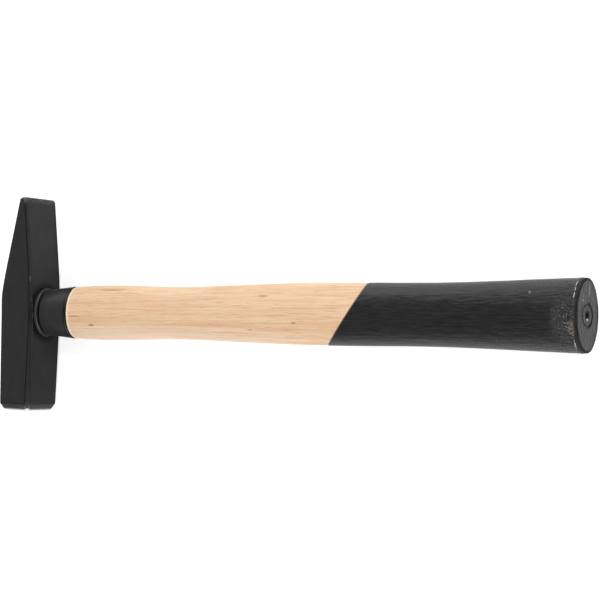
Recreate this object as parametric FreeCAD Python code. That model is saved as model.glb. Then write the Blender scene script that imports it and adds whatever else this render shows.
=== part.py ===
import FreeCAD, Part
import math
import os

# Cross-peen engineer's hammer of the 200 g size with an oval hickory handle.
# It lies on one cheek of its head. X runs along the handle from the head to the
# butt, Y along the head from the striking face to the peen, and Z up, square to
# the cheeks. Every piece is drawn about the middle of the eye, and the whole
# hammer is set down on its lower cheek at the end. Sizes are in millimetres.

# Head
HEAD_LENGTH = 95.0          # striking face to peen tip
FACE_TO_EYE = 43.8          # striking face to the middle of the eye
HEAD_WIDTH = 19.0           # across the two cheeks
FACE_DEPTH = 19.0           # across the striking end, along the handle
SHOULDER_SWELL = 1.0        # how far the handle side swells out beside the eye
SHOULDER_BEND_Y = 2.3       # where the handle side turns towards the peen
SHOULDER_RADIUS = 200.0
PEEN_BEND_Y = 7.3           # where the far side turns towards the peen
PEEN_BEND_RADIUS = 36.0
PEEN_TIP_THICKNESS = 3.3
PEEN_TIP_X = 3.2            # middle of the tip, ahead of the middle of the eye
PEEN_TIP_ROUNDING = 1.1
PEEN_END_BEVEL = 0.8        # where the tip meets the cheeks
FACE_BEVEL_LENGTH = 3.0     # ground all round the striking face
FACE_BEVEL_DEPTH = 2.0
FACE_CORNER = 1.8           # leg of the four long corner chamfers at the face
EYE_CORNER = 1.2            # the same chamfers beside the eye
PEEN_CORNER = 0.5           # and from the peen bend to the tip
CORNER_FADE = 9.0           # length over which they shrink past the bend

# Eye, and the handle end that fills it
EYE_FAR_HEIGHT = 19.2       # far mouth, opened by the wedges
EYE_FAR_WIDTH = 11.8
EYE_WAIST_HEIGHT = 17.4
EYE_WAIST_WIDTH = 10.6
EYE_NEAR_HEIGHT = 18.0      # mouth on the handle side
EYE_NEAR_WIDTH = 11.8
EYE_WAIST_X = -1.0

# Sleeve over the handle's neck
SLEEVE_LENGTH = 18.0        # from the head to its open end
SLEEVE_WALL = 1.05
SLEEVE_END_HEIGHT = 22.8
SLEEVE_END_WIDTH = 14.5
SLEEVE_LIP_ROUNDING = 0.4
FLANGE_THICKNESS = 1.2
FLANGE_STEP = 0.65          # how far the flange stands out past the sleeve
FLANGE_ROUNDING = 0.4
GROOVE_SIDE = 0.15          # length of each of its steep sides
GROOVE_WIDTH = 0.8
GROOVE_DEPTH = 0.45

# Handle
OVERALL_LENGTH = 280.0      # far side of the head to the butt
SHOULDER_LIP = 0.2          # the wood stays this far within the sleeve's end
SHOULDER_ROUNDING = 0.6
# Heights and thicknesses of the bare wood, evenly spaced from sleeve to butt
SHANK = [
    (23.5, 14.5),           # belly behind the sleeve
    (22.7, 14.3),
    (21.7, 14.1),           # waist
    (22.4, 14.4),
    (23.4, 14.8),
    (24.1, 15.2),           # swell under the hand
    (24.0, 15.4),
    (23.4, 15.4),
    (23.2, 15.6),
    (23.7, 16.1),
    (24.8, 16.9),
]
BUTT_HEIGHT = 25.8
BUTT_THICKNESS = 17.8
BUTT_BEVEL_LENGTH = 0.6
BUTT_BEVEL_DEPTH = 0.25

# Dip-lacquered grip, whose edge is level where the slanted handle met the bath
LACQUER_THICKNESS = 0.2
LACQUER_END_THICKNESS = 0.5
LACQUER_LENGTH = 98.0       # covered at the middle of the handle
LACQUER_RISE = 0.74         # how the edge shifts along the handle, per unit of height
LACQUER_SKEW = 0.55         # and per unit of thickness

# Turning marks in the butt
CENTRE_HOLE_RADIUS = 1.1
CENTRE_HOLE_DEPTH = 2.0      # into the wood
DRILL_POINT_ANGLE = 118.0
RING_MARK_RADIUS = 3.8
RING_MARK_WIDTH = 0.5
RING_MARK_DEPTH = 0.25

# Wedges in the end of the handle
WEDGE_THICKNESS = 3.2
WEDGE_EDGE = 0.8
WEDGE_DEPTH = 15.0
RING_WEDGE_RADIUS = 4.0
RING_WEDGE_WALL = 1.0
RING_WEDGE_EDGE = 0.3       # wall left at its sharpened edge
RING_WEDGE_BEVEL = 3.0      # length of the bevel that sharpens it, on the inside
RING_WEDGE_DEPTH = 9.0
RING_WEDGE_SINK = 0.2       # driven this far below the end of the wood

# Places worked out from those sizes
FACE_Y = -FACE_TO_EYE
TIP_Y = HEAD_LENGTH - FACE_TO_EYE
FAR_X = -FACE_DEPTH / 2
NEAR_X = FACE_DEPTH / 2
HALF_WIDTH = HEAD_WIDTH / 2
SHOULDER_X = NEAR_X + SHOULDER_SWELL
BUTT_X = FAR_X + OVERALL_LENGTH
WOOD_END_X = BUTT_X - LACQUER_END_THICKNESS
SLEEVE_END_X = SHOULDER_X + SLEEVE_LENGTH
SHOULDER_HEIGHT = SLEEVE_END_HEIGHT - 2 * SHOULDER_LIP
SHOULDER_WIDTH = SLEEVE_END_WIDTH - 2 * SHOULDER_LIP
LACQUER_EDGE_X = BUTT_X - LACQUER_LENGTH
TOOL_MARGIN = 5.0           # how far cutting tools reach past what they cut
SLICE_INSET = 0.01          # the outline at the striking face is read this far inside it
LOFT_SPAN = 4.5             # length of the straight spans in the eye and the sleeve
SHANK_SPAN = 10.0           # length of the straight spans in the shank
LEAN_FADE = 40.0            # either side of the lacquer's edge, where its slant fades out


def vec(x, y, z=0.0):
    return FreeCAD.Vector(x, y, z)


def polygon_face(points):
    return Part.Face(Part.makePolygon(points + points[:1]))


def oval(x, height, width, lean=0.0):
    """Ellipse across the handle at x, with a share of the slant of the lacquer's edge."""
    curve = Part.Ellipse(vec(0, height / 2, 0), vec(0, 0, width / 2), vec(0, 0, 0)).toBSpline()
    for index, pole in enumerate(curve.getPoles()):
        shift = lean * (LACQUER_RISE * pole.y + LACQUER_SKEW * pole.z)
        curve.setPole(index + 1, vec(x + shift, pole.y, pole.z))
    return Part.Wire(curve.toShape())


def oval_loft(wires):
    """Solid through ovals across the handle, straight from each to the next."""
    return Part.makeLoft(wires, True, True)


def spans(start, end):
    """Ovals that lead evenly from one oval to another, the first left out."""
    count = max(1, round((end[0] - start[0]) / LOFT_SPAN))
    return [
        tuple(a + (b - a) * step / count for a, b in zip(start, end))
        for step in range(1, count + 1)
    ]


def box_between(low, high):
    size = high - low
    return Part.makeBox(size.x, size.y, size.z, low)


def rounded_corner(before, corner, after, radius):
    """Tangent points and arc that round one corner of an outline."""
    back = (before - corner).normalize()
    ahead = (after - corner).normalize()
    half_angle = back.getAngle(ahead) / 2
    reach = radius / math.tan(half_angle)
    bisector = (back + ahead).normalize()
    centre = corner + bisector * (radius / math.sin(half_angle))
    middle = centre - bisector * radius
    return corner + back * reach, middle, corner + ahead * reach


def rounded_outline(corners):
    """Closed outline from (point, radius) pairs, a radius of 0 staying sharp."""
    stretches = []
    for index, (point, radius) in enumerate(corners):
        before = corners[index - 1][0]
        after = corners[(index + 1) % len(corners)][0]
        if radius:
            stretches.append(rounded_corner(before, point, after, radius))
        else:
            stretches.append((point,))
    edges = []
    for index, stretch in enumerate(stretches):
        following = stretches[(index + 1) % len(stretches)]
        if len(stretch) == 3:
            edges.append(Part.Arc(*stretch).toShape())
        edges.append(Part.makeLine(stretch[-1], following[0]))
    return Part.Wire(edges)


def head_blank():
    """Side profile of the head, straight through from cheek to cheek."""
    tip_far = PEEN_TIP_X - PEEN_TIP_THICKNESS / 2
    tip_near = PEEN_TIP_X + PEEN_TIP_THICKNESS / 2
    outline = rounded_outline([
        (vec(FAR_X, FACE_Y, -HALF_WIDTH), 0),
        (vec(NEAR_X, FACE_Y, -HALF_WIDTH), 0),
        (vec(SHOULDER_X, SHOULDER_BEND_Y, -HALF_WIDTH), SHOULDER_RADIUS),
        (vec(tip_near, TIP_Y, -HALF_WIDTH), PEEN_TIP_ROUNDING),
        (vec(tip_far, TIP_Y, -HALF_WIDTH), PEEN_TIP_ROUNDING),
        (vec(FAR_X, PEEN_BEND_Y, -HALF_WIDTH), PEEN_BEND_RADIUS),
    ])
    return Part.Face(outline).extrude(vec(0, 0, HEAD_WIDTH))


def corner_leg(y):
    """Leg of the long corner chamfers at a height along the head."""
    if y <= 0:
        return EYE_CORNER + (FACE_CORNER - EYE_CORNER) * y / FACE_Y
    if y >= PEEN_BEND_Y + CORNER_FADE:
        return PEEN_CORNER
    return EYE_CORNER + (PEEN_CORNER - EYE_CORNER) * y / (PEEN_BEND_Y + CORNER_FADE)


def corner_cutter(blank, side, cheek):
    """Wedge-shaped tool along one long corner, following the head's outline."""
    fade_end = PEEN_BEND_Y + CORNER_FADE
    tip_start = TIP_Y - PEEN_TIP_THICKNESS
    # The outline bends little down to the eye, and most where the chamfers fade.
    heights = [FACE_Y, FACE_Y / 4, 0.0, fade_end / 2, fade_end, tip_start]
    sections = []
    for y in heights:
        span = blank.slice(vec(0, 1, 0), max(y, FACE_Y + SLICE_INSET))[0].BoundBox
        edge_x = span.XMax if side > 0 else span.XMin
        sections.append((edge_x, y, corner_leg(y)))
    first, second = sections[0], sections[1]
    before_last, last = sections[-2], sections[-1]
    sections.insert(0, extended(second, first, first[1] - TOOL_MARGIN))
    sections.append(extended(before_last, last, TIP_Y + TOOL_MARGIN))
    wires = []
    for edge_x, y, leg in sections:
        inner = vec(edge_x - side * (leg + TOOL_MARGIN), y, cheek * (HALF_WIDTH + TOOL_MARGIN))
        outer = vec(edge_x + side * TOOL_MARGIN, y, cheek * (HALF_WIDTH - leg - TOOL_MARGIN))
        apex = vec(edge_x + side * TOOL_MARGIN, y, cheek * (HALF_WIDTH + TOOL_MARGIN))
        wires.append(Part.makePolygon([inner, outer, apex, inner]))
    return Part.makeLoft(wires, True, True)


def extended(start, end, y):
    """Carry a section's values on in a straight line to another height."""
    share = (y - start[1]) / (end[1] - start[1])
    edge_x = start[0] + (end[0] - start[0]) * share
    leg = start[2] + (end[2] - start[2]) * share
    return edge_x, y, leg


def face_octagon(inset, y):
    """The striking end's eight-sided section, drawn in by an even margin."""
    half = FACE_DEPTH / 2 - inset
    half_z = HALF_WIDTH - inset
    leg = FACE_CORNER - inset * (2 - math.sqrt(2))
    corners = [
        (half, half_z - leg), (half - leg, half_z), (leg - half, half_z), (-half, half_z - leg),
        (-half, leg - half_z), (leg - half, -half_z), (half - leg, -half_z), (half, leg - half_z),
    ]
    points = [vec(x, y, z) for x, z in corners]
    return Part.makePolygon(points + points[:1])


def bevel_envelope():
    """Space left by the bevel round the striking face, opening towards the eye."""
    reach = HEAD_LENGTH + TOOL_MARGIN
    growth = reach * FACE_BEVEL_DEPTH / FACE_BEVEL_LENGTH
    small = face_octagon(FACE_BEVEL_DEPTH, FACE_Y)
    large = face_octagon(FACE_BEVEL_DEPTH - growth, FACE_Y + reach)
    return Part.makeLoft([small, large], True, True)


def peen_envelope():
    """Front view of the head, with the tip's two ends bevelled."""
    left = FAR_X - TOOL_MARGIN
    corners = [
        vec(left, FACE_Y - TOOL_MARGIN, -HALF_WIDTH),
        vec(left, TIP_Y - PEEN_END_BEVEL, -HALF_WIDTH),
        vec(left, TIP_Y, -HALF_WIDTH + PEEN_END_BEVEL),
        vec(left, TIP_Y, HALF_WIDTH - PEEN_END_BEVEL),
        vec(left, TIP_Y - PEEN_END_BEVEL, HALF_WIDTH),
        vec(left, FACE_Y - TOOL_MARGIN, HALF_WIDTH),
    ]
    return polygon_face(corners).extrude(vec(SHOULDER_X - left + TOOL_MARGIN, 0, 0))


def handle_core():
    """Handle end from the far mouth of the eye to the sleeve's open end."""
    bore_height = SLEEVE_END_HEIGHT - 2 * SLEEVE_WALL
    bore_width = SLEEVE_END_WIDTH - 2 * SLEEVE_WALL
    far_mouth = (FAR_X, EYE_FAR_HEIGHT, EYE_FAR_WIDTH)
    waist = (EYE_WAIST_X, EYE_WAIST_HEIGHT, EYE_WAIST_WIDTH)
    near_mouth = (SHOULDER_X, EYE_NEAR_HEIGHT, EYE_NEAR_WIDTH)
    sleeve_end = (SLEEVE_END_X, bore_height, bore_width)
    stations = [far_mouth] + spans(far_mouth, waist) + spans(waist, near_mouth)
    stations += spans(near_mouth, sleeve_end)
    return oval_loft([oval(*station) for station in stations])


def hammer_head(blank, core):
    head = blank.common(bevel_envelope()).common(peen_envelope())
    for side in (-1, 1):
        for cheek in (-1, 1):
            head = head.cut(corner_cutter(blank, side, cheek))
    return head.cut(core)


def far_waste(blank):
    """Everything past the far side of the head, where the handle end is cut flush."""
    low = vec(FAR_X - TOOL_MARGIN, FACE_Y, -HALF_WIDTH)
    high = vec(EYE_WAIST_X, TIP_Y, HALF_WIDTH)
    return box_between(low, high).cut(blank)


def shank_line(margin):
    """Curve that gives x, height and width of the shank, grown by a margin, at any x."""
    start = SLEEVE_END_X + SHOULDER_ROUNDING
    end = WOOD_END_X - BUTT_BEVEL_LENGTH
    ovals = [(SHOULDER_HEIGHT, SHOULDER_WIDTH)] + SHANK + [(BUTT_HEIGHT, BUTT_THICKNESS)]
    places = [start + (end - start) * index / (len(ovals) - 1) for index in range(len(ovals))]
    points = [
        vec(x, height + 2 * margin, width + 2 * margin)
        for x, (height, width) in zip(places, ovals)
    ]
    line = Part.BSplineCurve()
    line.interpolate(Points=points, Parameters=places)
    return line


def shank_ovals(margin):
    """Wires across the shank: those ahead of the lacquer, and those from its edge on."""
    line = shank_line(margin)
    ahead_length = LACQUER_EDGE_X - line.FirstParameter
    under_length = line.LastParameter - LACQUER_EDGE_X
    ahead_count = max(1, round(ahead_length / SHANK_SPAN))
    under_count = max(1, round(under_length / SHANK_SPAN))
    places = [line.FirstParameter + ahead_length * step / ahead_count for step in range(ahead_count)]
    places += [LACQUER_EDGE_X + under_length * step / under_count for step in range(under_count + 1)]
    wires = []
    for x in places:
        lean = max(0.0, 1 - abs(x - LACQUER_EDGE_X) / LEAN_FADE)
        wires.append(oval(*line.value(x), lean))
    return wires[:ahead_count], wires[ahead_count:]


def butt_flat(end_x, margin):
    """Oval round the flat end of the butt, inside its bevel, grown by a margin."""
    growth = 2 * (margin - BUTT_BEVEL_DEPTH)
    return oval(end_x, BUTT_HEIGHT + growth, BUTT_THICKNESS + growth)


def butt_marks():
    """Centre hole of the lathe, with its drill point."""
    depth = LACQUER_END_THICKNESS + CENTRE_HOLE_DEPTH
    hole = Part.makeCylinder(CENTRE_HOLE_RADIUS, depth, vec(BUTT_X, 0, 0), vec(-1, 0, 0))
    point_depth = CENTRE_HOLE_RADIUS / math.tan(math.radians(DRILL_POINT_ANGLE / 2))
    point = Part.makeCone(
        CENTRE_HOLE_RADIUS, 0, point_depth, vec(BUTT_X - depth, 0, 0), vec(-1, 0, 0)
    )
    return hole.fuse(point)


def ring_mark():
    """Shallow ring that the lathe's drive centre left in the butt."""
    base = vec(BUTT_X - RING_MARK_DEPTH, 0, 0)
    outer = Part.makeCylinder(RING_MARK_RADIUS + RING_MARK_WIDTH / 2, TOOL_MARGIN, base, vec(1, 0, 0))
    inner = Part.makeCylinder(RING_MARK_RADIUS - RING_MARK_WIDTH / 2, TOOL_MARGIN, base, vec(1, 0, 0))
    return outer.cut(inner)


def wedge_blank():
    """Tapered plank across the whole eye, thick end outwards."""
    thick = WEDGE_THICKNESS / 2
    thin = WEDGE_EDGE / 2
    reach = EYE_FAR_HEIGHT
    slope = (thick - thin) / WEDGE_DEPTH
    outside_x = FAR_X - TOOL_MARGIN
    outside = thick + slope * TOOL_MARGIN
    inner_x = FAR_X + WEDGE_DEPTH
    section = [
        vec(outside_x, -reach, -outside), vec(inner_x, -reach, -thin),
        vec(inner_x, -reach, thin), vec(outside_x, -reach, outside),
    ]
    return polygon_face(section).extrude(vec(0, 2 * reach, 0))


def ring_wedge(lead_in=0.0):
    """Tube with a sharpened edge, and if asked the straight way by which it was driven in."""
    top = FAR_X + RING_WEDGE_SINK
    edge = top + RING_WEDGE_DEPTH
    bore = RING_WEDGE_RADIUS - RING_WEDGE_WALL
    section = [
        vec(top - lead_in, RING_WEDGE_RADIUS), vec(edge, RING_WEDGE_RADIUS),
        vec(edge, RING_WEDGE_RADIUS - RING_WEDGE_EDGE), vec(edge - RING_WEDGE_BEVEL, bore),
        vec(top - lead_in, bore),
    ]
    return polygon_face(section).revolve(vec(0, 0, 0), vec(1, 0, 0), 360)


def handle(flush_core, wedge):
    """Shank with its rounded shoulder, and the end that fills sleeve and eye."""
    rounding = 2 * SHOULDER_ROUNDING
    shoulder = oval(SLEEVE_END_X, SHOULDER_HEIGHT - rounding, SHOULDER_WIDTH - rounding)
    ahead, under = shank_ovals(0)
    shank = oval_loft([shoulder] + ahead + under + [butt_flat(WOOD_END_X, 0)])
    return shank.fuse(flush_core).cut(butt_marks()).cut(wedge).cut(ring_wedge(TOOL_MARGIN))


def grip_coating(wood):
    """Lacquer film over the grip and the butt."""
    under = shank_ovals(LACQUER_THICKNESS)[1]
    film = oval_loft(under + [butt_flat(BUTT_X, LACQUER_THICKNESS)])
    return film.cut(wood).cut(butt_marks()).cut(ring_mark())


def handle_sleeve(blank, core):
    """Flanged collar that is pressed against the head and covers the neck."""
    neck_height = EYE_NEAR_HEIGHT + 2 * SLEEVE_WALL
    neck_width = EYE_NEAR_WIDTH + 2 * SLEEVE_WALL
    flange_end = SHOULDER_X + FLANGE_THICKNESS
    groove_start = flange_end + GROOVE_SIDE
    groove_end = groove_start + GROOVE_WIDTH
    # Place along the handle, and how far the surface stands out past the neck.
    rings = [
        (SHOULDER_X - TOOL_MARGIN, FLANGE_STEP),
        (flange_end - FLANGE_ROUNDING, FLANGE_STEP),
        (flange_end, FLANGE_STEP - FLANGE_ROUNDING),
        (groove_start, -GROOVE_DEPTH),
        (groove_end, -GROOVE_DEPTH),
        (groove_end + GROOVE_SIDE, 0.0),
    ]
    stations = [(x, neck_height + 2 * out, neck_width + 2 * out) for x, out in rings]
    body_end = (SLEEVE_END_X - SLEEVE_LIP_ROUNDING, SLEEVE_END_HEIGHT, SLEEVE_END_WIDTH)
    stations += spans(stations[-1], body_end)
    lip = 2 * SLEEVE_LIP_ROUNDING
    stations.append((SLEEVE_END_X, SLEEVE_END_HEIGHT - lip, SLEEVE_END_WIDTH - lip))
    return oval_loft([oval(*station) for station in stations]).cut(core).cut(blank)


def build():
    blank = head_blank()
    core = handle_core()
    flush_core = core.cut(far_waste(blank))
    wedge = wedge_blank().common(flush_core)
    wood = handle(flush_core, wedge)
    return {
        "hammer_head": hammer_head(blank, core),
        "handle_sleeve": handle_sleeve(blank, core),
        "handle": wood,
        "wood_wedge": wedge.cut(ring_wedge(TOOL_MARGIN)),
        "ring_wedge": ring_wedge(),
        "grip_coating": grip_coating(wood),
    }


def main():
    os.makedirs("parts", exist_ok=True)
    # From the middle of the eye to the middle of the hammer's footprint.
    resting_place = vec(-(FAR_X + BUTT_X) / 2, -(FACE_Y + TIP_Y) / 2, HALF_WIDTH)
    for node, piece in build().items():
        piece = piece.removeSplitter()
        piece.translate(resting_place)
        solids = len(piece.Solids)
        print(node, solids, "solid(s)", round(piece.Volume / 1000, 3), "cm3", piece.isValid())
        piece.exportStep(os.path.join("parts", node + ".step"))


main()
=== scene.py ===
"""Looks of a cross-peen engineer's hammer, built around its packed construction model.

The file is laid out as a Blender add-on. Each piece has its own operator, and main()
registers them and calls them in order.
"""

import functools
import math

import bmesh
import bpy
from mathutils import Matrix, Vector, noise


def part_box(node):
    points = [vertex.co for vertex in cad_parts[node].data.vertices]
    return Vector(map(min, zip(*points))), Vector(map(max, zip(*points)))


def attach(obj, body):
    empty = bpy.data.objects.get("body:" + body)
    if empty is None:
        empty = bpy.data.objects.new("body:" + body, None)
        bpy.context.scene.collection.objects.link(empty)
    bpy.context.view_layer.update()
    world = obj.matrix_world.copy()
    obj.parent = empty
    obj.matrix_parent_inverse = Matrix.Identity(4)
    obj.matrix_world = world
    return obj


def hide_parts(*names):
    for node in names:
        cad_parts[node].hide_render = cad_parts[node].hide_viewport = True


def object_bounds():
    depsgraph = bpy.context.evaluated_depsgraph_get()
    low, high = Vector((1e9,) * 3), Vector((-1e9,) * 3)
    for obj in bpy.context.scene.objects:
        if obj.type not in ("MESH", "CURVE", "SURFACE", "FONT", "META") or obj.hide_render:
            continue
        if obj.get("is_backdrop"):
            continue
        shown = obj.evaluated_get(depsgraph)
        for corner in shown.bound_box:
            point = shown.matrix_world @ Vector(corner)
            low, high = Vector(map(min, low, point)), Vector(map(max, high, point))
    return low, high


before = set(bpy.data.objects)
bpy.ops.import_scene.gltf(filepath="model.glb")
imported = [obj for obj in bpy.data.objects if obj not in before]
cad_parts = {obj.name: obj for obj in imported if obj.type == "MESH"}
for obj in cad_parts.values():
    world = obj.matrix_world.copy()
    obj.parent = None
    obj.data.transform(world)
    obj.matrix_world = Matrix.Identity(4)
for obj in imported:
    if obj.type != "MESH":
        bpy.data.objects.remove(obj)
CAD_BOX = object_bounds()

bl_info = {
    "name": "Cross-peen hammer",
    "version": (1, 0, 0),
    "blender": (4, 5, 0),
    "location": "View3D > Sidebar > Hammer",
    "description": "Models and finishes the pieces of a hammer with a lacquered hickory handle",
    "category": "Object",
}

MM = 0.001
BODY = "root"
HEAD_LOW, HEAD_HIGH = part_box("hammer_head")
SLEEVE_LOW, SLEEVE_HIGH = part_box("handle_sleeve")
WOOD_LOW, WOOD_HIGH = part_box("handle")
GRIP_LOW, GRIP_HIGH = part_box("grip_coating")
EDGE_INSET = 0.02 * MM      # sections at an end are read this far inside it
SHARP = math.radians(30)    # edges past this angle stay sharp
SHARP_SKIN = math.radians(40)   # the same on the thin skins, with their tight lips
OVAL_SEGMENTS = 128         # corners round the handle and the sleeve


# ---- reading the frame

def merged_copy(node):
    """Bmesh copy of a construction node, its loose triangles joined at their corners."""
    bm = bmesh.new()
    bm.from_mesh(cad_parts[node].data)
    bmesh.ops.remove_doubles(bm, verts=bm.verts, dist=0.001 * MM)
    return bm


class Sections:
    """Reads where a construction node's surface lies on planes square to one axis."""

    def __init__(self, node, axis):
        self.mesh = merged_copy(node)
        self.normal = Vector([float(i == axis) for i in range(3)])

    def box(self, place):
        """Lowest and highest corner of the section at a place along the axis."""
        cut = self.mesh.copy()
        split = bmesh.ops.bisect_plane(
            cut, geom=cut.verts[:] + cut.edges[:] + cut.faces[:],
            plane_co=self.normal * place, plane_no=self.normal,
        )
        points = [
            item.co.copy() for item in split["geom_cut"] if isinstance(item, bmesh.types.BMVert)
        ]
        cut.free()
        low = Vector([min(point[i] for point in points) for i in range(3)])
        high = Vector([max(point[i] for point in points) for i in range(3)])
        return low, high

    def free(self):
        self.mesh.free()


class Profile:
    """Half height and half width of an oval piece, read along the hammer's length."""

    def __init__(self, node, start, end, step):
        sections = Sections(node, 0)
        self.places = spread(start, end, max(1, round((end - start) / step)))
        boxes = [sections.box(x) for x in self.places]
        sections.free()
        self.sizes = [Vector(((high.y - low.y) / 2, (high.z - low.z) / 2)) for low, high in boxes]

    def at(self, x):
        """Half height and half width at a place, carried on straight past either end."""
        step = self.places[1] - self.places[0]
        index = clamp(int((x - self.places[0]) / step), 0, len(self.places) - 2)
        share = (x - self.places[index]) / step
        return self.sizes[index] + (self.sizes[index + 1] - self.sizes[index]) * share


def eye_centre(head):
    """Middle of the eye, from the head's box and its two driving sizes."""
    middle = (HEAD_LOW.z + HEAD_HIGH.z) / 2
    return Vector((HEAD_LOW.x + head.eye_depth / 2, HEAD_LOW.y + head.face_to_eye, middle))


# ---- modelling helpers

def spread(start, end, count):
    """Evenly spaced places from start to end, both included."""
    return [start + (end - start) * step / count for step in range(count + 1)]


def clamp(value, low=0.0, high=1.0):
    return min(high, max(low, value))


def smooth_step(value, low, high):
    """Share from 0 to 1 as a value goes from low to high, eased at both ends."""
    share = clamp((value - low) / (high - low))
    return share * share * (3 - 2 * share)


def quarter_round(radius, count):
    """Pairs of how far along and how far in a quarter circle has gone."""
    angles = spread(0, math.pi / 2, count)
    return [(radius * (1 - math.cos(angle)), radius * (1 - math.sin(angle))) for angle in angles]


def ring_skin(stations, place, segments, closed=False, open_start=False, shade=None):
    """Skin through rings: a circle is extruded from station to station.

    place(turn, station) gives where the corner at that angle lies, and shade(turn, station)
    how much darker, for painted shade, or paler its colour is painted. The two ends are
    capped, or sewn to each other where the skin is closed and its last station is its first again.
    """
    bm = bmesh.new()
    turn = bm.verts.layers.float.new("turn")
    shading = bm.verts.layers.float.new("shade")
    ring = bmesh.ops.create_circle(bm, segments=segments, radius=1.0)["verts"]
    for vert in ring:
        vert[turn] = math.atan2(vert.co.y, vert.co.x)
        vert[shading] = shade(vert[turn], stations[0]) if shade else 0.0
        vert.co = place(vert[turn], stations[0])
    edges = first_edges = bm.edges[:]
    for station in stations[1:]:
        grown = bmesh.ops.extrude_edge_only(bm, edges=edges)["geom"]
        edges = [item for item in grown if isinstance(item, bmesh.types.BMEdge)]
        for item in grown:
            if isinstance(item, bmesh.types.BMVert):
                item.co = place(item[turn], station)
                item[shading] = shade(item[turn], station) if shade else 0.0
    if closed:
        bmesh.ops.remove_doubles(bm, verts=bm.verts, dist=0.0001 * MM)
    else:
        bmesh.ops.contextual_create(bm, geom=edges)
        if not open_start:
            bmesh.ops.contextual_create(bm, geom=first_edges)
    bmesh.ops.recalc_face_normals(bm, faces=bm.faces)
    return bm


def finish_mesh(bm, name, sharp_angle):
    """Mesh object of a bmesh, smooth except at edges past an angle."""
    mesh = bpy.data.meshes.new(name)
    bm.to_mesh(mesh)
    bm.free()
    piece = bpy.data.objects.new(name, mesh)
    bpy.context.scene.collection.objects.link(piece)
    smooth_shading(mesh, sharp_angle)
    return piece


def smooth_shading(mesh, sharp_angle):
    """Shades a mesh smooth except at edges past an angle."""
    mesh.polygons.foreach_set("use_smooth", [True] * len(mesh.polygons))
    mesh.set_sharp_from_angle(angle=sharp_angle)


def boolean_cut(piece, cutter):
    """Cuts another object's shape out of a piece, and removes the cutter."""
    cut = piece.modifiers.new("cut", "BOOLEAN")
    cut.operation = "DIFFERENCE"
    cut.solver = "EXACT"
    cut.object = cutter
    bpy.context.view_layer.update()
    depsgraph = bpy.context.evaluated_depsgraph_get()
    whole = piece.data
    piece.data = bpy.data.meshes.new_from_object(piece.evaluated_get(depsgraph))
    piece.modifiers.clear()
    bpy.data.meshes.remove(whole)
    bpy.data.objects.remove(cutter)


def declare(piece, material, node):
    """Gives a finished piece its material and its place on the hammer, where a node stood."""
    piece.data.materials.clear()
    piece.data.materials.append(material)
    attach(piece, BODY)
    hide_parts(node)


# ---- material helpers

def colour(code):
    """Linear colour of an sRGB hex value."""
    channels = [int(code[i:i + 2], 16) / 255 for i in (1, 3, 5)]
    return [c / 12.92 if c <= 0.04045 else ((c + 0.055) / 1.055) ** 2.4 for c in channels] + [1.0]


def add_node(tree, kind, *inputs, output=None, **settings):
    """Adds a node with its settings, and gives back one of its outputs, or else the first.

    Its operation may follow its kind. The inputs are links or values, in the order of the
    node's live sockets or in a dict of their names.
    """
    kind, *operation = kind.split()
    made = tree.nodes.new("ShaderNode" + kind)
    if operation:
        made.operation = operation[0]
    for name, value in settings.items():
        setattr(made, name, value)
    if inputs and isinstance(inputs[0], dict):
        pairs = [(made.inputs[name], value) for name, value in inputs[0].items()]
    else:
        pairs = zip([socket for socket in made.inputs if socket.enabled], inputs)
    for socket, value in pairs:
        if isinstance(value, bpy.types.NodeSocket):
            tree.links.new(value, socket)
        else:
            socket.default_value = value
    if output:
        return made.outputs[output]
    return next((socket for socket in made.outputs if socket.enabled), None)


def empty_nodes(owner):
    """Clears the nodes of a material or a world, and gives back add_node for its tree."""
    owner.use_nodes = True
    owner.node_tree.nodes.clear()
    return functools.partial(add_node, owner.node_tree)


def new_material(name):
    """Material, the function that adds its nodes, and its object coordinates."""
    material = bpy.data.materials.new(name)
    node = empty_nodes(material)
    return material, node, node("TexCoord", output="Object")


def complete(material, node, inputs, layers):
    """Ends a material in a shader with these inputs and layers of relief."""
    inputs["Normal"] = relief(node, layers)
    node("OutputMaterial", node("BsdfPrincipled", inputs))
    return material


def grain_noise(node, place, size, detail=3.0, rough=0.5, distortion=0.0):
    """Noise whose features measure about size millimetres along x, y and z."""
    scale = [1.0 / (length * MM) for length in size]
    return node("TexNoise", {
        "Vector": node("Mapping", {"Vector": place, "Scale": scale}),
        "Scale": 1.0, "Detail": detail, "Roughness": rough, "Distortion": distortion,
    })


def spot(node, place, centre, size, wander=None, core=0.45):
    """Blot that is 0 at size millimetres away along x, y and z, and 1 in its core's share."""
    scale = [1.0 / (length * MM) for length in size]
    shift = [-centre[i] * scale[i] for i in range(3)]
    mapped = node("Mapping", {"Vector": place, "Scale": scale, "Location": shift})
    reach = node("VectorMath LENGTH", mapped)
    if wander is not None:
        reach = node("Math ADD", reach, wander)
    return node("MapRange", reach, core, 1.0, 1.0, 0.0)


def band(node, value, start, end, softness):
    """1 where a value lies between two places, falling to 0 over a softness on each side."""
    rising = node("MapRange", value, start - softness, start)
    falling = node("MapRange", value, end, end + softness, 1.0, 0.0)
    return node("Math MULTIPLY", rising, falling)


def paint(node, base, layers):
    """Lays colours over a base one by one: (sRGB value, share, more to multiply it by)."""
    for code, share, *others in layers:
        for other in others:
            share = node("Math MULTIPLY", share, other)
        base = node("Mix", share, base, colour(code), data_type="RGBA")
    return base


def relief(node, layers):
    """Stacks bumps, each a (height socket, depth in millimetres) pair."""
    below = {}
    for height, depth in layers:
        inputs = {"Height": height, "Strength": 1.0, "Distance": depth * MM, **below}
        below = {"Normal": node("Bump", inputs)}
    return below["Normal"]


# ---- materials

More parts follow.
